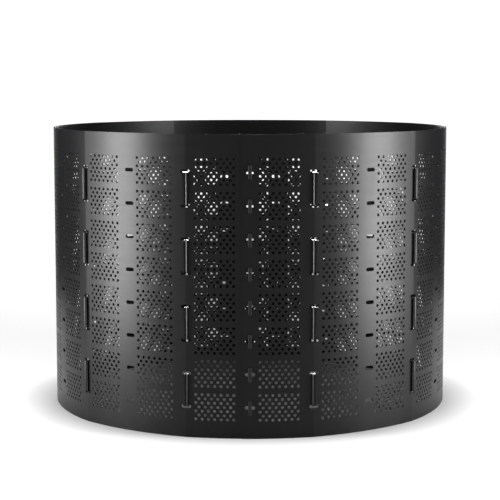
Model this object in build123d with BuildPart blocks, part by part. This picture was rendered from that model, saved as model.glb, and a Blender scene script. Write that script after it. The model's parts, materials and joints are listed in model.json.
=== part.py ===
"""Round open compost bin: two perforated wall strips, lapped and keyed into a ring, with clips on their folds.

Millimetres, +Z up. The origin is on the ground in the middle of the ring, and the front seam faces -Y.
Angles around the ring are measured from the front, positive towards +X.
"""

from build123d import *
import os
from math import cos, degrees, pi, radians, sin

# Ring
ring_radius = 575.0  # outer face of the wall, at the fold lines
wall_height = 804.0
sheet = 2.0  # thickness of the wall
columns = 21  # columns of slots around the ring
fold_lean = 3.0  # degrees by which a panel's end leans from the ring's tangent at a fold line
back_lean = 1.87  # the same at the two folds beside the wide back lap

# Slots, in level rows
slot_rows = 8
slot_row_pitch = 89.0
lowest_slot = 83.0  # height of the lowest row
slot_length = 27.0
slot_height = 10.0

# Air holes, in staggered blocks between the slot columns
hole_diameter = 8.0
hole_pitch = 17.0
hole_row_pitch = 11.0
holes_across = 7
full_rows = 4  # rows of seven in a block, with a row of six between each two
block_start = 26.5  # from a slot column to the first holes on its right
flat_width = hole_pitch / 2  # the curve is made of narrow flats, one under each line of holes

# Laps at the front and back seams
lap_tail = 21.0  # from the last slot column of a strip to its free edge
lap_gap = 0.4  # between the two layers of a lap
ramp_margin = 6.0  # from the covered free edge to where the outer layer starts to come down

# Fold clips
clip_width = 12.8
clip_floor = 1.0  # thickness of the bar under its groove
clip_slit = 1.0  # width of the groove's floor
clip_lip_turn = 65.0  # how far each lip of the bar turns down into the groove, in degrees
clip_corner = 2.4
clip_leg = 3.2  # thickness of a leg in its slot
clip_gap_out = 0.1
clip_gap_in = 0.5
clip_gap_slot = 0.3
clip_leg_reach = 9.0  # leg's tip past the inner face
clip_barb = 2.6
clip_tip = 2.0  # thickness of the leg at its tip

# Twist keys
key_length = 37.0
key_width = 9.4
key_height = 8.0
key_corner = 3.0
key_edge = 1.6
key_shank = 9.0
key_gap_out = 0.4
key_gap_in = 0.6
foot_length = 24.0
foot_width = 8.8
foot_height = 6.0
foot_edge = 1.0

# Worked out from the sizes above
step = 360 / columns
slots_middle = lowest_slot + slot_row_pitch * (slot_rows - 1) / 2
lap_lift = sheet + lap_gap
cut_reach = 3.0  # how far a cutter stands out of the wall on both sides
cut_depth = sheet + 2 * cut_reach


class Span:
    """The wall between two fold lines: an arc a little flatter than the ring, facing -Y."""

    def __init__(self, intervals, lean):
        self.half_turn = intervals * step / 2
        self.lean = lean
        half_arc = radians(self.half_turn - lean)
        self.radius = ring_radius * sin(radians(self.half_turn)) / sin(half_arc)
        self.center_y = self.radius * cos(half_arc) - ring_radius * cos(radians(self.half_turn))
        self.half_length = self.radius * half_arc
        self.interval = 2 * self.half_length / intervals

    def point(self, along, lift):
        """The point at an arc position from the middle, lifted off the arc."""
        angle = along / self.radius
        reach = self.radius + lift
        return (reach * sin(angle), self.center_y - reach * cos(angle))

    def inner_point(self, along, lift):
        """The matching point of the inner face, mitred at a fold line."""
        if abs(along) < self.half_length - 0.001:
            return self.point(along, lift - sheet)
        reach = ring_radius - sheet / cos(radians(self.lean))
        side = 1 if along > 0 else -1
        turn = radians(self.half_turn)
        return (side * reach * sin(turn), -reach * cos(turn))

    def column_plane(self, along, lift):
        """Plane on the outer face at a slot column, looking outwards, at the middle of the slot rows."""
        turn = along / self.radius
        if abs(along) > self.half_length - 0.001:
            turn = radians(self.half_turn) * (1 if along > 0 else -1)
        x, y = self.point(along, lift)
        return Plane(
            origin=(x, y, slots_middle), x_dir=(cos(turn), sin(turn), 0), z_dir=(sin(turn), -cos(turn), 0)
        )


panel_span = Span(2, fold_lean)
back_span = Span(3, back_lean)


def level(along):
    """A panel that follows its arc all the way."""
    return 0.0


def lifted(span, lap_column):
    """The lift of a lap's outer panel: over the covered edge, then down to the arc at the fold line."""
    top = lap_column + lap_tail + ramp_margin

    def lift(along):
        return lap_lift * min(1.0, (span.half_length - along) / (span.half_length - top))

    return lift


def flat_edges(marks):
    """The arc positions where flats meet: the marks, with wide gaps between them shared out evenly."""
    edges = [marks[0]]
    for left, right in zip(marks, marks[1:]):
        count = max(1, round((right - left) / flat_width))
        edges += [left + (right - left) * (i + 1) / count for i in range(count)]
    return edges


def flat_plane(span, along, lift):
    """Plane of the flat under one line of holes, looking outwards."""
    x1, y1 = span.point(along - flat_width / 2, lift(along - flat_width / 2))
    x2, y2 = span.point(along + flat_width / 2, lift(along + flat_width / 2))
    return Plane(
        origin=((x1 + x2) / 2, (y1 + y2) / 2, slots_middle),
        x_dir=(x2 - x1, y2 - y1, 0),
        z_dir=(y2 - y1, x1 - x2, 0),
    )


def wall_panel(span, left, right, slot_columns, block_columns, lift):
    """A perforated panel from left to right along a span, with blocks of holes right of some columns."""
    lines = range(2 * holes_across - 1)
    first_lines = [column + block_start for column in block_columns]
    marks = {left, right}
    for first in first_lines:
        marks |= {first + (i - 0.5) * flat_width for i in range(2 * holes_across)}
    edges = flat_edges(sorted(marks))
    outer = [span.point(s, lift(s)) for s in edges]
    inner = [span.inner_point(s, lift(s)) for s in edges]

    with BuildPart() as panel:
        with BuildSketch():
            with BuildLine():
                Polyline(*outer, *reversed(inner), close=True)
            make_face()
        extrude(amount=wall_height)
        holes = [
            flat_plane(span, first + i * flat_width, lift) * Location((0, row * hole_row_pitch, 0))
            for first in first_lines
            for i in lines
            for row in range(i % 2 + 1 - full_rows, full_rows, 2)
        ]
        with Locations(*holes):
            with GridLocations(1, slot_row_pitch, 1, slot_rows):
                Cylinder(hole_diameter / 2, cut_depth, mode=Mode.SUBTRACT)
        with BuildSketch(*(span.column_plane(column, lift(column)) for column in slot_columns)):
            with GridLocations(1, slot_row_pitch, 1, slot_rows):
                SlotOverall(slot_length, slot_height)
        extrude(amount=cut_depth, both=True, mode=Mode.SUBTRACT)
    return panel.part


def write(part, name):
    """Label a finished piece and write it to its own file."""
    part.label = name
    export_step(part, f"parts/{name}.step", write_pcurves=False)


os.makedirs("parts", exist_ok=True)

# Panels between two folds, four on each strip
arc_end = panel_span.half_length
plain_panel = wall_panel(
    panel_span, -arc_end, arc_end, (-arc_end, 0, arc_end), (-arc_end, 0), level
)
panels_a_side = (columns - 5) // 4
for number in range(1, panels_a_side + 1):
    for side, turn in (("right", 2 * step * number), ("left", -2 * step * number)):
        with BuildPart() as wall_piece:
            with Locations(Rotation(0, 0, turn)):
                add(plain_panel)
        write(wall_piece.part, f"{side}_wall_panel_{number}")

# Half panels that lap at the front, the right one outside
with BuildPart() as left_lap_panel:
    add(wall_panel(panel_span, -arc_end, lap_tail, (-arc_end, 0), (-arc_end,), level))
write(left_lap_panel.part, "left_lap_panel")

front_lift = lifted(panel_span, 0)
with BuildPart() as right_lap_panel:
    add(wall_panel(panel_span, -lap_tail, arc_end, (0, arc_end), (0,), front_lift))
write(right_lap_panel.part, "right_lap_panel")

# Panels that lap over one whole column at the back, the left strip's outside
back_end = back_span.half_length
back_column = back_span.interval / 2
with BuildPart() as right_back_panel:
    with Locations(Rotation(0, 0, 180)):
        add(
            wall_panel(
                back_span,
                -back_end,
                back_column + lap_tail,
                (-back_end, -back_column, back_column),
                (-back_end, -back_column),
                level,
            )
        )
write(right_back_panel.part, "right_back_panel")

back_lift = lifted(back_span, back_column)
with BuildPart() as left_back_panel:
    with Locations(Rotation(0, 0, 180)):
        add(
            wall_panel(
                back_span,
                -back_column - lap_tail,
                back_end,
                (-back_column, back_column, back_end),
                (-back_column, back_column),
                back_lift,
            )
        )
write(left_back_panel.part, "left_back_panel")

# Fold clip: a grooved bar along the fold with two barbed legs, the wall's outer face at 0
leg_inside = (slot_row_pitch - slot_height) / 2 + clip_gap_slot
leg_outside = leg_inside + clip_leg
lip_radius = (clip_width - clip_slit) / 2 / sin(radians(clip_lip_turn))
groove_floor = clip_gap_out + clip_floor
bar_top = groove_floor + lip_radius * (1 - cos(radians(clip_lip_turn)))
barb_top = -sheet - clip_gap_in
leg_tip = -sheet - clip_leg_reach
with BuildPart() as clip:
    with BuildSketch(Plane.YZ):
        with BuildLine():
            Polyline(
                (0, bar_top),
                (leg_outside, bar_top),
                (leg_outside, leg_tip),
                (leg_outside - clip_tip, leg_tip),
                (leg_inside - clip_barb, barb_top),
                (leg_inside, barb_top),
                (leg_inside, clip_gap_out),
                (0, clip_gap_out),
            )
            mirror(about=Plane.YZ)
        make_face()
    extrude(amount=clip_width / 2, both=True)
    fillet(clip.edges().filter_by(Axis.X).group_by(Axis.Z)[-1], clip_corner)
    with BuildSketch(Plane.XZ):
        with BuildLine():
            lip = CenterArc((clip_width / 2, bar_top - lip_radius), lip_radius, 90, clip_lip_turn)
            Line(lip @ 1, (0, groove_floor))
            Polyline(lip @ 0, (clip_width / 2, 2 * bar_top), (0, 2 * bar_top))
            mirror(about=Plane.YZ)
        make_face()
    extrude(amount=slot_row_pitch, both=True, mode=Mode.SUBTRACT)

# Four clips on a fold line, over every second gap between slot rows; a strip's middle fold has none
folds_a_side = panels_a_side + 1
clipped_folds = [fold for fold in range(1, folds_a_side + 1) if 2 * fold != folds_a_side + 1]
for number, fold_number in enumerate(clipped_folds, 1):
    for side, turn in (("right", step), ("left", -step)):
        angle = turn * (2 * fold_number - 1)
        fold = Plane(
            origin=(ring_radius * sin(radians(angle)), -ring_radius * cos(radians(angle)), slots_middle),
            x_dir=(cos(radians(angle)), sin(radians(angle)), 0),
            z_dir=(sin(radians(angle)), -cos(radians(angle)), 0),
        )
        with BuildPart() as fold_clips:
            with Locations(fold):
                with GridLocations(1, 2 * slot_row_pitch, 1, slot_rows // 2):
                    add(clip.part)
        write(fold_clips.part, f"{side}_fold_clips_{number}")

# Twist key: a grip bar outside, a round shank through both layers, and a foot bar inside
foot_top = -lap_lift - sheet - key_gap_in
with BuildPart() as key:
    with BuildSketch(Plane.XY.offset(key_gap_out)):
        RectangleRounded(key_width, key_length, key_corner)
    extrude(amount=key_height)
    fillet(key.faces().sort_by(Axis.Z)[-1].edges(), key_edge)
    with BuildSketch(Plane.XY.offset(foot_top)):
        SlotOverall(foot_length, foot_width, rotation=90)
    extrude(amount=-foot_height)
    fillet(key.faces().sort_by(Axis.Z)[0].edges(), foot_edge)
    with BuildSketch(Plane.XY.offset(foot_top)):
        Circle(key_shank / 2)
    extrude(amount=key_gap_out - foot_top)

# Eight keys down each seam, numbered from the top
seams = (
    ("front", panel_span.column_plane(0, lap_lift), 0),
    ("back", back_span.column_plane(-back_column, lap_lift), 180),
)
for seam, column_plane, turn in seams:
    for number in range(1, slot_rows + 1):
        rise = (slot_rows + 1 - 2 * number) * slot_row_pitch / 2
        with BuildPart() as twist_key:
            with Locations(Rotation(0, 0, turn)):
                with Locations(column_plane):
                    with Locations((0, rise, 0)):
                        add(key.part)
        write(twist_key.part, f"{seam}_key_{number}")
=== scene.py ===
"""Looks of a round, open compost bin: perforated wall sheets, fold clips and twist keys in a studio."""

import json
from math import cos, pi, radians, sin

import bmesh
import bpy
import numpy as np
from bpy.props import FloatProperty, FloatVectorProperty, PointerProperty
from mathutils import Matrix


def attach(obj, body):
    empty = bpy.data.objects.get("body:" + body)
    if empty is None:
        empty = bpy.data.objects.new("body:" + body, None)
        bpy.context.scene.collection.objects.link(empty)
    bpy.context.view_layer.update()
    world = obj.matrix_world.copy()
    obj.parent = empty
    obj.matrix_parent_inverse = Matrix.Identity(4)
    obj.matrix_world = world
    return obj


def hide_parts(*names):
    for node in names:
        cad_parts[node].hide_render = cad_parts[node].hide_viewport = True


bl_info = {
    "name": "Compost Bin",
    "version": (1, 0, 0),
    "blender": (4, 5, 0),
    "location": "3D View > Sidebar > Compost Bin",
    "description": "Dresses the packed compost bin and sets up its studio",
    "category": "Object",
}

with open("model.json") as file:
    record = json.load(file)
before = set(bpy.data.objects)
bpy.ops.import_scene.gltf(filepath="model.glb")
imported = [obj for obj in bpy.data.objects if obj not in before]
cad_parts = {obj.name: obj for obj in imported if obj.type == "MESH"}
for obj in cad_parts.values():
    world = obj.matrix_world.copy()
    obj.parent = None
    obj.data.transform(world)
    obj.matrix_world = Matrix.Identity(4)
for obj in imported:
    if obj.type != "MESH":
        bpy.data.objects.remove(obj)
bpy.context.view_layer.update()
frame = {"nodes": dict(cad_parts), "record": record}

BODIES = frame["record"]["behaviour"]["bodies"]
PANEL_NODES = sorted(node for node in frame["nodes"] if "panel" in node)
CLIP_NODES = sorted(node for node in frame["nodes"] if "clips" in node)
KEY_NODES = sorted(node for node in frame["nodes"] if "key" in node)
BODY_OF_NODE = {node: body for body, nodes in BODIES.items() for node in nodes}

# Meshes: points closer than the weld become one, edges that bend more than the crease stay sharp
WELD = 2e-6
PANEL_CREASE = radians(30)
CLIP_CREASE = radians(22)
KEY_CREASE = radians(30)

# Wall faces: the most their normals rise, and the least they point straight out of the ring or into it
FACE_RISE = 0.1
FACE_SQUARE = 0.95
CURVE_ORDER = 5

# Dust at the foot of the wall
DUST_HEIGHT = 0.09
DUST_COLOUR = (0.05, 0.044, 0.037)

# Floor: a disc that starts to glow at the wall and reaches its full glow some way out, in metres; the dim
# glow near the wall is painted shade at the bin's foot
FLOOR_RADIUS = 60
FLOOR_CORNERS = 72
PAINTED_CONTACT_SHADE = (0.55, 0.7)
PAINTED_SHADE_FADE = (0.7, 3.0)
GLOW_IN_PAINTED_SHADE = 0.7

# Painted shadow on the floor behind the bin: a wedge of dimmer glow between two sides that would meet in
# front of it
SHADE_DEPTH = 0.75
SHADE_APEX = 4.65
SHADE_SIDES = (0.05, 0.12)
SHADE_START = (0.3, 0.8)
SHADE_END = (2.5, 9.0)

# Flags: dark curved cloths on both sides behind the bin, in metres and in degrees from the front
FLAG_RADIUS = 2.3
FLAG_HEIGHT = 2.4
FLAG_TURNS = range(104, 147, 3)

# Lights: name, place, turn in degrees, width and height, spread in degrees, share of the softbox power
LAMPS = (
    ("left_softbox", (-2.0, -0.87, 0.88), -90, (0.72, 1.7), 180, 1.0),
    ("right_softbox", (2.0, -0.87, 0.88), 90, (0.72, 1.7), 180, 1.0),
    ("left_strip", (-2.0, -0.2, 0.88), -90, (0.5, 1.7), 180, 0.075),
    ("right_strip", (2.0, -0.2, 0.88), 90, (0.5, 1.7), 180, 0.075),
    ("back_softbox", (0.0, 2.5, 1.05), 180, (1.2, 1.1), 45, 0.12),
)

# Dome: a bright horizon that fades upwards, and a bright screen at the back that reaches higher
HORIZON = 1.06
HORIZON_FADE = (0.03, 0.22)
SCREEN_SIDES = (0.8, 0.9)
SCREEN_TOP = (0.35, 0.5)


# Settings


class WallSheetFinish(bpy.types.PropertyGroup):
    """Satin black sheet of the wall panels."""

    colour: FloatVectorProperty(
        name="Colour", description="Colour of the sheet", subtype="COLOR", min=0, max=1,
        default=(0.0024, 0.0025, 0.0027),
    )
    cut_colour: FloatVectorProperty(
        name="Cut edge", description="Colour where the sheet is punched or cut", subtype="COLOR",
        min=0, max=1, default=(0.022, 0.0215, 0.021),
    )
    roughness: FloatProperty(
        name="Roughness", description="Blur of the sheet's satin shine", subtype="FACTOR",
        min=0, max=1, default=0.33,
    )
    gloss: FloatProperty(
        name="Gloss", description="Strength of the sheet's shine", subtype="FACTOR",
        min=0, max=1, default=0.13,
    )
    cut_gloss: FloatProperty(
        name="Cut gloss", description="Strength of the cut edges' shine", subtype="FACTOR",
        min=0, max=1, default=0.05,
    )
    grain: FloatProperty(
        name="Grain", description="Depth of the fine grain on the faces", unit="LENGTH",
        min=0, max=0.001, default=0.00002,
    )


class FoldClipFinish(bpy.types.PropertyGroup):
    """Smooth moulded plastic of the fold clips."""

    colour: FloatVectorProperty(
        name="Colour", description="Colour of the clips", subtype="COLOR", min=0, max=1,
        default=(0.0026, 0.0026, 0.0028),
    )
    roughness: FloatProperty(
        name="Roughness", description="Blur of the clips' shine", subtype="FACTOR",
        min=0, max=1, default=0.27,
    )
    gloss: FloatProperty(
        name="Gloss", description="Strength of the clips' shine", subtype="FACTOR",
        min=0, max=1, default=0.2,
    )


class TwistKeyFinish(bpy.types.PropertyGroup):
    """Matte moulded plastic of the twist keys."""

    colour: FloatVectorProperty(
        name="Colour", description="Colour of the keys", subtype="COLOR", min=0, max=1,
        default=(0.013, 0.0124, 0.012),
    )
    roughness: FloatProperty(
        name="Roughness", description="Blur of the keys' shine", subtype="FACTOR",
        min=0, max=1, default=0.6,
    )
    gloss: FloatProperty(
        name="Gloss", description="Strength of the keys' shine", subtype="FACTOR",
        min=0, max=1, default=0.06,
    )


class StageSettings(bpy.types.PropertyGroup):
    """Floor, lights and camera."""

    camera_distance: FloatProperty(
        name="Camera distance", description="From the middle of the bin, along the floor",
        unit="LENGTH", default=4.65,
    )
    camera_height: FloatProperty(
        name="Camera height", description="Above the floor", unit="LENGTH", default=0.9736,
    )
    camera_pitch: FloatProperty(
        name="Camera pitch", description="How far the camera looks down", subtype="ANGLE",
        default=radians(6.586),
    )
    lens: FloatProperty(
        name="Lens", description="Focal length", unit="CAMERA", default=113.39,
    )
    backlight: FloatProperty(
        name="Floor glow", description="Light given off by the floor away from the bin", default=1.0,
    )
    softbox_power: FloatProperty(
        name="Softbox power", description="Power of each side light", unit="POWER", default=150.0,
    )
    dome: FloatProperty(
        name="Dome", description="Light from overhead", default=0.12,
    )


# Nodes


class Nodes:
    """Short way to add and join the nodes of one material or world."""

    def __init__(self, tree):
        self.tree = tree
        tree.nodes.clear()

    def add(self, kind, inputs=None, **settings):
        """A new node, with its settings made and its inputs set or linked."""
        node = self.tree.nodes.new(kind)
        for name, value in settings.items():
            setattr(node, name, value)
        for socket, value in (inputs or {}).items():
            if isinstance(value, bpy.types.NodeSocket):
                self.tree.links.new(value, node.inputs[socket])
            else:
                node.inputs[socket].default_value = value
        return node

    def place(self):
        """Position in the shared frame, in metres."""
        return self.add("ShaderNodeTexCoord").outputs["Object"]

    def noise(self, vector, scale, detail, stretch=(1, 1, 1)):
        """Grey noise at so many features a metre, stretched by axis."""
        moved = self.add("ShaderNodeMapping", {"Vector": vector, "Scale": stretch})
        return self.add(
            "ShaderNodeTexNoise", {"Vector": moved.outputs[0], "Scale": scale, "Detail": detail}
        ).outputs["Fac"]

    def ramp(self, value, to, over=(0.0, 1.0), easing="LINEAR"):
        """A value spread from one range to another, held at its ends."""
        return self.add(
            "ShaderNodeMapRange",
            {"Value": value, "From Min": over[0], "From Max": over[1], "To Min": to[0], "To Max": to[1]},
            interpolation_type=easing,
        ).outputs[0]

    def soft(self, value, to, over):
        """The same, easing in and out."""
        return self.ramp(value, to, over, "SMOOTHSTEP")

    def math(self, operation, a, b=0.0):
        """One number worked out from another one or two."""
        return self.add("ShaderNodeMath", {0: a, 1: b}, operation=operation).outputs[0]

    def blend(self, factor, a, b):
        """One colour going over into another."""
        mix = self.add("ShaderNodeMix", {"Factor": factor}, data_type="RGBA")
        for socket, colour in ((mix.inputs[6], a), (mix.inputs[7], b)):
            if isinstance(colour, bpy.types.NodeSocket):
                self.tree.links.new(colour, socket)
            else:
                socket.default_value = (*colour, 1)
        return mix.outputs[2]

    def bump(self, height, depth):
        """Surface normals of a relief so many metres deep."""
        return self.add(
            "ShaderNodeBump", {"Height": height, "Distance": depth, "Strength": 1.0}
        ).outputs[0]

    def surface(self, inputs):
        """The material's shader and its output."""
        shader = self.add("ShaderNodeBsdfPrincipled", inputs)
        self.add("ShaderNodeOutputMaterial", {"Surface": shader.outputs[0]})


# Materials


def new_material(name):
    """An empty material and its nodes."""
    material = bpy.data.materials.new(name)
    material.use_nodes = True
    return material, Nodes(material.node_tree)


def tint(colour, factor):
    """A colour made lighter or darker."""
    return tuple(min(1.0, channel * factor) for channel in colour)


def about(value, reach):
    """The range that reaches so far to both sides of a value."""
    return (value - reach, value + reach)


def sheet_face_material(finish):
    """Satin black sheet: fine grain, faint drawing lines, a few rubs and a little dust near the ground."""
    material, nodes = new_material("wall_sheet_face")
    place = nodes.place()
    height = nodes.add("ShaderNodeSeparateXYZ", {0: place}).outputs[2]
    cloud = nodes.noise(place, scale=9.0, detail=3.0)
    grain = nodes.noise(place, scale=1400.0, detail=2.0)
    lines = nodes.noise(place, scale=5.0, detail=3.0, stretch=(1, 1, 60))
    rub_noise = nodes.noise(place, scale=26.0, detail=4.0, stretch=(1, 1, 0.35))
    rubs = nodes.ramp(rub_noise, to=(0.0, 1.0), over=(0.62, 0.8))
    dust_noise = nodes.noise(place, scale=60.0, detail=5.0)
    low = nodes.ramp(height, to=(1.0, 0.0), over=(0.0, DUST_HEIGHT))
    dust = nodes.math("MULTIPLY", low, nodes.ramp(dust_noise, to=(0.0, 0.06), over=(0.45, 0.8)))

    colour = nodes.blend(cloud, tint(finish.colour, 0.85), tint(finish.colour, 1.15))
    colour = nodes.blend(nodes.math("MULTIPLY", rubs, 0.35), colour, tint(finish.colour, 2.2))
    colour = nodes.blend(dust, colour, DUST_COLOUR)
    spread = nodes.ramp(lines, to=about(finish.roughness, 0.025), over=(0.3, 0.7))
    spread = nodes.math("ADD", spread, nodes.math("MULTIPLY", rubs, 0.06))
    spread = nodes.math("ADD", spread, nodes.math("MULTIPLY", dust, 0.5))
    nodes.surface(
        {
            "Base Color": colour,
            "Roughness": spread,
            "Specular IOR Level": finish.gloss,
            "Normal": nodes.bump(grain, finish.grain),
        }
    )
    return material


def sheet_cut_material(finish):
    """Punched edges of the sheet: paler and duller, with fine lines across the cut."""
    material, nodes = new_material("wall_sheet_cut")
    lines = nodes.noise(nodes.place(), scale=700.0, detail=3.0, stretch=(1, 1, 0.4))
    nodes.surface(
        {
            "Base Color": nodes.blend(lines, tint(finish.cut_colour, 0.7), tint(finish.cut_colour, 1.4)),
            "Roughness": nodes.ramp(lines, to=(0.75, 0.9)),
            "Specular IOR Level": finish.cut_gloss,
            "Normal": nodes.bump(lines, depth=0.0001),
        }
    )
    return material


def clip_material(finish):
    """Smooth moulded plastic: flow marks, fine handling marks and paler worn edges."""
    material, nodes = new_material("fold_clip_smooth")
    place = nodes.place()
    flow = nodes.noise(place, scale=120.0, detail=2.0, stretch=(1, 1, 0.15))
    mark_noise = nodes.noise(place, scale=700.0, detail=3.0, stretch=(1, 1, 0.2))
    marks = nodes.ramp(mark_noise, to=(0.0, 1.0), over=(0.6, 0.75))
    edge = nodes.add("ShaderNodeNewGeometry").outputs["Pointiness"]
    worn = nodes.ramp(edge, to=(0.0, 0.5), over=(0.56, 0.66))
    colour = nodes.blend(flow, tint(finish.colour, 0.8), tint(finish.colour, 1.2))
    colour = nodes.blend(worn, colour, tint(finish.colour, 5.0))
    spread = nodes.ramp(flow, to=about(finish.roughness, 0.03), over=(0.3, 0.7))
    nodes.surface(
        {
            "Base Color": colour,
            "Roughness": nodes.math("ADD", spread, nodes.math("MULTIPLY", marks, 0.08)),
            "Specular IOR Level": finish.gloss,
            "Normal": nodes.bump(flow, depth=0.00004),
        }
    )
    return material


def key_material(finish):
    """Matte moulded plastic with a sparked grain and rubbed edges."""
    material, nodes = new_material("twist_key_matte")
    place = nodes.place()
    cloud = nodes.noise(place, scale=90.0, detail=3.0)
    grain = nodes.noise(place, scale=1600.0, detail=2.0)
    edge = nodes.add("ShaderNodeNewGeometry").outputs["Pointiness"]
    worn = nodes.ramp(edge, to=(0.0, 0.6), over=(0.55, 0.66))
    colour = nodes.blend(cloud, tint(finish.colour, 0.85), tint(finish.colour, 1.15))
    colour = nodes.blend(worn, colour, tint(finish.colour, 1.8))
    nodes.surface(
        {
            "Base Color": colour,
            "Roughness": nodes.ramp(grain, to=about(finish.roughness, 0.06), over=(0.3, 0.7)),
            "Specular IOR Level": finish.gloss,
            "Normal": nodes.bump(grain, depth=0.00008),
        }
    )
    return material


def floor_material(stage):
    """Pale floor that glows away from the bin, with painted shade at its foot and a painted soft shadow
    behind it.
    """
    material, nodes = new_material("studio_floor")
    place = nodes.place()
    cloud = nodes.noise(place, scale=3.0, detail=2.0)
    flat = nodes.add("ShaderNodeMapping", {"Vector": place, "Scale": (1, 1, 0)}).outputs[0]
    distance = nodes.add("ShaderNodeVectorMath", {0: flat}, operation="LENGTH").outputs["Value"]
    # Painted shade: the glow is held back next to the wall and grows outwards, standing in for shade at
    # the bin's foot
    near = nodes.ramp(distance, to=(0.0, 1.0), over=PAINTED_CONTACT_SHADE)
    far = nodes.ramp(distance, to=(GLOW_IN_PAINTED_SHADE * stage.backlight, stage.backlight), over=PAINTED_SHADE_FADE)

    x, y, _ = nodes.add("ShaderNodeSeparateXYZ", {0: place}).outputs
    # Painted shadow: a wedge of dimmer glow behind the bin, standing in for a soft cast shadow
    aside = nodes.math("DIVIDE", nodes.math("ABSOLUTE", x), nodes.math("ADD", y, SHADE_APEX))
    across = nodes.soft(aside, to=(SHADE_DEPTH, 0.0), over=SHADE_SIDES)
    shade = nodes.math("MULTIPLY", across, nodes.soft(y, to=(0.0, 1.0), over=SHADE_START))
    shade = nodes.math("MULTIPLY", shade, nodes.soft(y, to=(1.0, 0.0), over=SHADE_END))
    glow = nodes.math("MULTIPLY", nodes.math("MULTIPLY", near, far), nodes.math("SUBTRACT", 1.0, shade))
    nodes.surface(
        {
            "Base Color": nodes.blend(cloud, (0.24, 0.24, 0.241), (0.26, 0.26, 0.26)),
            "Roughness": nodes.ramp(cloud, to=(0.7, 0.9)),
            "Specular IOR Level": 0.1,
            "Emission Color": (1, 1, 1, 1),
            "Emission Strength": glow,
        }
    )
    return material


def flag_material():
    """Dark cloth of the studio flags."""
    material, nodes = new_material("studio_flag")
    weave = nodes.noise(nodes.place(), scale=200.0, detail=2.0)
    nodes.surface(
        {
            "Base Color": nodes.blend(weave, (0.01, 0.01, 0.01), (0.02, 0.02, 0.02)),
            "Roughness": nodes.ramp(weave, to=(0.85, 0.95)),
        }
    )
    return material


# Meshes


def welded_copy(node, name, crease):
    """A piece of a node's shape, welded, with its edges sharp only where they bend more than crease."""
    mesh = frame["nodes"][node].data.copy()
    mesh.name = name
    mesh.materials.clear()
    stored = mesh.attributes.get("custom_normal")
    if stored is not None:
        mesh.attributes.remove(stored)
    shape = bmesh.new()
    shape.from_mesh(mesh)
    bmesh.ops.remove_doubles(shape, verts=shape.verts, dist=WELD)
    for face in shape.faces:
        face.smooth = True
    for edge in shape.edges:
        edge.smooth = edge.calc_face_angle(pi) < crease
    shape.to_mesh(mesh)
    shape.free()
    piece = bpy.data.objects.new(name, mesh)
    bpy.context.scene.collection.objects.link(piece)
    return piece


def read(items, field, width, kind=np.float64):
    """One field of a mesh's items, a row for each item."""
    values = np.zeros(len(items) * width, kind)
    items.foreach_get(field, values)
    return values.reshape(-1, width) if width > 1 else values


def around(points):
    """Angle around the bin, from the front towards the right."""
    return np.arctan2(points[:, 0], -points[:, 1])


def nearest_turn(angles, middle):
    """Angles moved by whole turns to lie about a middle one."""
    return middle + (angles - middle + pi) % (2 * pi) - pi


def round_off(mesh):
    """Shades a panel's flats as one curve, and gives its cut faces the second material."""
    normals = read(mesh.polygons, "normal", 3)
    centers = read(mesh.polygons, "center", 3)
    areas = read(mesh.polygons, "area", 1)
    count = read(mesh.polygons, "loop_total", 1, np.int32)
    points = read(mesh.vertices, "co", 3)
    corners = read(mesh.loops, "vertex_index", 1, np.int32)
    middle = np.arctan2(centers[:, 0].mean(), -centers[:, 1].mean())
    lean = np.cos(around(normals) - around(centers))
    level = np.abs(normals[:, 2]) < FACE_RISE
    outside = level & (lean > FACE_SQUARE)
    inside = level & (lean < -FACE_SQUARE)

    place = nearest_turn(around(centers[outside]), middle)
    facing = nearest_turn(around(normals[outside]), middle)
    curve = np.polynomial.Polynomial.fit(place, facing, CURVE_ORDER, w=np.sqrt(areas[outside]))
    turn = curve(nearest_turn(around(points), middle))[corners]
    shading = np.stack((np.sin(turn), -np.cos(turn), np.zeros(len(turn))), 1)
    sign = np.repeat(outside.astype(float) - inside, count)
    mesh.normals_split_custom_set((shading * sign[:, None]).tolist())
    mesh.polygons.foreach_set("material_index", np.where(outside | inside, 0, 1).astype(np.int32))


def flat_mesh(name, points, faces, material):
    """A thing of the studio, made of flat faces."""
    mesh = bpy.data.meshes.new(name)
    mesh.from_pydata(points, [], faces)
    mesh.materials.append(material)
    thing = bpy.data.objects.new(name, mesh)
    bpy.context.scene.collection.objects.link(thing)
    return thing


# Pieces


def dress(piece, node, materials):
    """Gives a piece its materials and lets it stand for its node."""
    for material in materials:
        piece.data.materials.append(material)
    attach(piece, BODY_OF_NODE[node])
    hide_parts(node)


class COMPOSTBIN_OT_wall_panels(bpy.types.Operator):
    """Make the perforated wall panels"""

    bl_idname = "compostbin.wall_panels"
    bl_label = "Wall panels"

    def execute(self, context):
        finish = context.scene.wall_sheet
        materials = [sheet_face_material(finish), sheet_cut_material(finish)]
        for node in PANEL_NODES:
            piece = welded_copy(node, f"{node}_sheet", PANEL_CREASE)
            dress(piece, node, materials)
            round_off(piece.data)
        return {"FINISHED"}


class COMPOSTBIN_OT_fold_clips(bpy.types.Operator):
    """Make the clips on the fold lines"""

    bl_idname = "compostbin.fold_clips"
    bl_label = "Fold clips"

    def execute(self, context):
        material = clip_material(context.scene.fold_clip)
        for node in CLIP_NODES:
            piece = welded_copy(node, f"{node}_moulding", CLIP_CREASE)
            dress(piece, node, [material])
        return {"FINISHED"}


class COMPOSTBIN_OT_twist_keys(bpy.types.Operator):
    """Make the keys that lock the laps"""

    bl_idname = "compostbin.twist_keys"
    bl_label = "Twist keys"

    def execute(self, context):
        material = key_material(context.scene.twist_key)
        for node in KEY_NODES:
            piece = welded_copy(node, f"{node}_moulding", KEY_CREASE)
            dress(piece, node, [material])
        return {"FINISHED"}


# Studio


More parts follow.
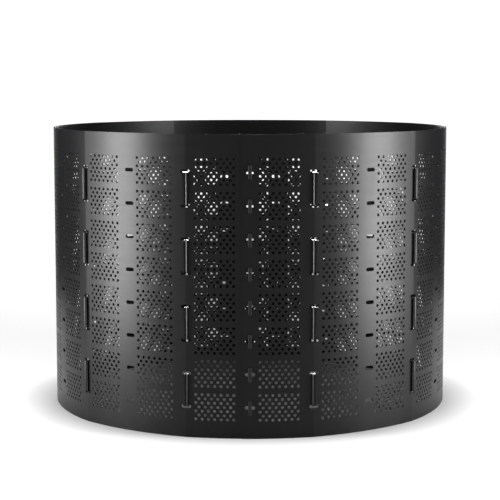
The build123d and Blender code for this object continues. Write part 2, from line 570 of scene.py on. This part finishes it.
def add_floor(stage):
    """The round floor."""
    turns = [2 * pi * i / FLOOR_CORNERS for i in range(FLOOR_CORNERS)]
    points = [(FLOOR_RADIUS * sin(turn), -FLOOR_RADIUS * cos(turn), 0) for turn in turns]
    flat_mesh("floor", points, [tuple(reversed(range(FLOOR_CORNERS)))], floor_material(stage))


def add_flags():
    """The dark cloths, which the camera doesn't see."""
    cloth = flag_material()
    turns = [radians(turn) for turn in FLAG_TURNS]
    faces = [(2 * i, 2 * i + 2, 2 * i + 3, 2 * i + 1) for i in range(len(turns) - 1)]
    for side, name in ((-1, "left"), (1, "right")):
        points = [
            (side * FLAG_RADIUS * sin(turn), -FLAG_RADIUS * cos(turn), height)
            for turn in turns
            for height in (0.0, FLAG_HEIGHT)
        ]
        flag = flat_mesh(f"{name}_flag", points, faces, cloth)
        flag.visible_camera = False


def add_lamps(scene, stage):
    """The area lights."""
    for name, place, turn, (width, height), spread, share in LAMPS:
        light = bpy.data.lights.new(name, "AREA")
        light.shape = "RECTANGLE"
        light.size = width
        light.size_y = height
        light.spread = radians(spread)
        light.energy = stage.softbox_power * share
        box = bpy.data.objects.new(name, light)
        box.location = place
        box.rotation_euler = (pi / 2, 0, radians(turn))
        box.visible_camera = False
        scene.collection.objects.link(box)


def add_dome(scene, stage):
    """The light from all around."""
    world = bpy.data.worlds.new("studio_dome")
    world.use_nodes = True
    scene.world = world
    nodes = Nodes(world.node_tree)
    way = nodes.add("ShaderNodeTexCoord").outputs["Generated"]
    _, back, up = nodes.add("ShaderNodeSeparateXYZ", {0: way}).outputs
    bright = stage.backlight * HORIZON
    low = nodes.ramp(up, to=(bright, stage.dome), over=HORIZON_FADE)
    behind = nodes.ramp(back, to=(0.0, bright), over=SCREEN_SIDES)
    screen = nodes.math("MULTIPLY", behind, nodes.ramp(up, to=(1.0, 0.0), over=SCREEN_TOP))
    level = nodes.math("MAXIMUM", low, screen)
    sky = nodes.add("ShaderNodeBackground", {"Color": (1, 1, 1, 1), "Strength": level})
    nodes.add("ShaderNodeOutputWorld", {"Surface": sky.outputs[0]})


def add_camera(scene, stage):
    """The camera, in front of the bin and looking down a little."""
    camera = bpy.data.cameras.new("camera")
    camera.lens = stage.lens
    camera.sensor_width = 36
    camera.clip_end = 200
    eye = bpy.data.objects.new("camera", camera)
    eye.location = (0, -stage.camera_distance, stage.camera_height)
    eye.rotation_euler = (pi / 2 - stage.camera_pitch, 0, 0)
    scene.collection.objects.link(eye)
    scene.camera = eye


class COMPOSTBIN_OT_stage(bpy.types.Operator):
    """Set up the floor, lights and camera"""

    bl_idname = "compostbin.stage"
    bl_label = "Studio"

    def execute(self, context):
        scene = context.scene
        stage = scene.bin_stage
        scene.view_settings.view_transform = "Standard"
        add_floor(stage)
        add_flags()
        add_lamps(scene, stage)
        add_dome(scene, stage)
        add_camera(scene, stage)
        return {"FINISHED"}


# Sidebar and registration


OPERATORS = (
    COMPOSTBIN_OT_wall_panels,
    COMPOSTBIN_OT_fold_clips,
    COMPOSTBIN_OT_twist_keys,
    COMPOSTBIN_OT_stage,
)
SETTINGS = {
    "wall_sheet": WallSheetFinish,
    "fold_clip": FoldClipFinish,
    "twist_key": TwistKeyFinish,
    "bin_stage": StageSettings,
}


class COMPOSTBIN_PT_sidebar(bpy.types.Panel):
    """Pieces of the compost bin, with their settings"""

    bl_idname = "COMPOSTBIN_PT_sidebar"
    bl_label = "Compost Bin"
    bl_space_type = "VIEW_3D"
    bl_region_type = "UI"
    bl_category = "Compost Bin"

    def draw(self, context):
        for operator, (name, group) in zip(OPERATORS, SETTINGS.items()):
            box = self.layout.box()
            box.operator(operator.bl_idname)
            settings = getattr(context.scene, name)
            for field in group.__annotations__:
                box.prop(settings, field)


CLASSES = (*SETTINGS.values(), *OPERATORS, COMPOSTBIN_PT_sidebar)


def register():
    for cls in CLASSES:
        bpy.utils.register_class(cls)
    for name, group in SETTINGS.items():
        setattr(bpy.types.Scene, name, PointerProperty(type=group))


def unregister():
    for name in SETTINGS:
        delattr(bpy.types.Scene, name)
    for cls in reversed(CLASSES):
        bpy.utils.unregister_class(cls)


def main():
    register()
    bpy.ops.compostbin.wall_panels()
    bpy.ops.compostbin.fold_clips()
    bpy.ops.compostbin.twist_keys()
    bpy.ops.compostbin.stage()


if __name__ == "__main__":
    main()
